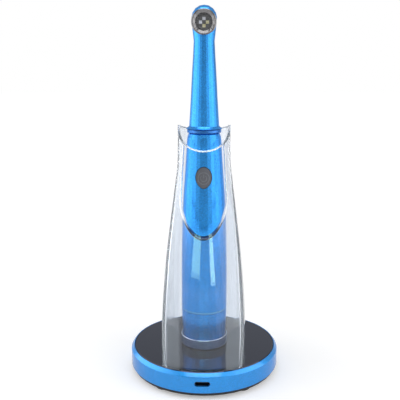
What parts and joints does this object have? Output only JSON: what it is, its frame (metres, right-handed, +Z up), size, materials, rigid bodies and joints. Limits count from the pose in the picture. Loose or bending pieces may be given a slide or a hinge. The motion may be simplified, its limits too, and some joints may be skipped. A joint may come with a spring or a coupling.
{
  "type": "cordless curing light on charging base",
  "caption": "Pen-shaped cordless curing light with a round lens on a swivelling neck, standing in a clear tapered holder on a round wireless charging base.",
  "frame": {"origin": "centre of the plane that the four feet stand on", "axes": "+Z up along the handset; -Y is the front, which the lens, the button and the port face; +X is the right-hand side seen from the front"},
  "size_m": [0.0884, 0.0884, 0.2126],
  "materials": {
    "blue_rim": "pearl blue, satin",
    "blue_shell": "pearl blue, satin gloss",
    "dark_blue_ring": "dark blue, satin",
    "black_plate": "black, mirror gloss",
    "black_gloss": "black, gloss",
    "black_rubber": "matt",
    "button_rubber": "matt",
    "clear_acrylic": "clear, polished",
    "steel": "bright",
    "black_moulding": "matt",
    "circuit_board": "solder mask",
    "ferrite": "sintered",
    "copper": "bare copper",
    "spring_brass": "bright",
    "grey_moulding": "matt",
    "cell_wrap": "shrink wrap",
    "window_glass": "clear",
    "reflector": "bright",
    "lamp_board": "white solder mask",
    "lamp_chip": "phosphor and clear lens"
  },
  "bodies": {
    "base": {"base_rim": "blue_rim", "top_plate": "black_plate", "dock_ring": "black_gloss", "holder": "clear_acrylic", "bottom_cover": "black_gloss", "foot_1": "black_rubber", "foot_2": "black_rubber", "foot_3": "black_rubber", "foot_4": "black_rubber", "base_screw_1": "steel", "base_screw_2": "steel", "base_screw_3": "steel", "base_screw_4": "steel", "usb_port_shell": "steel", "usb_port_tongue": "black_moulding", "charger_board": "circuit_board", "charge_controller": "black_moulding", "power_inductor": "ferrite", "coil_carrier": "grey_moulding", "transmit_ferrite": "ferrite", "transmit_coil": "copper"},
    "handset": {"end_cap": "blue_shell", "end_cap_seal": "black_rubber", "receive_coil": "copper", "receive_ferrite": "ferrite", "body_tube": "blue_shell", "battery_cell": "cell_wrap", "battery_carrier": "grey_moulding", "battery_spring": "spring_brass", "contact_plate": "spring_brass", "control_board": "circuit_board", "tact_switch": "black_moulding", "swivel_bush": "spring_brass", "collar_ring": "dark_blue_ring"},
    "button": {"power_button": "button_rubber"},
    "head": {"neck_housing": "blue_shell", "swivel_shaft": "steel", "retaining_ring": "steel", "head_lead": "black_rubber", "head_bezel": "steel", "lens_window": "window_glass", "window_seal": "black_rubber", "reflector": "reflector", "led_board": "lamp_board", "led_chip_right": "lamp_chip", "led_chip_top": "lamp_chip", "led_chip_left": "lamp_chip", "led_chip_bottom": "lamp_chip", "heat_spreader": "copper"}
  },
  "joints": [
    {"name": "handset_lift", "type": "slide", "parent": "base", "child": "handset", "axis": [0, 0, 1], "range_m": [0, 0.15]},
    {"name": "button_press", "type": "slide", "parent": "handset", "child": "button", "axis": [0, 1, 0], "range_m": [0, 0.0008], "stiffness_N_per_m": 2500},
    {"name": "neck_swivel", "type": "hinge", "parent": "handset", "child": "head", "pos_m": [0, 0, 0.145], "axis": [0, 0, 1], "range_deg": [-180, 180]}
  ]
}
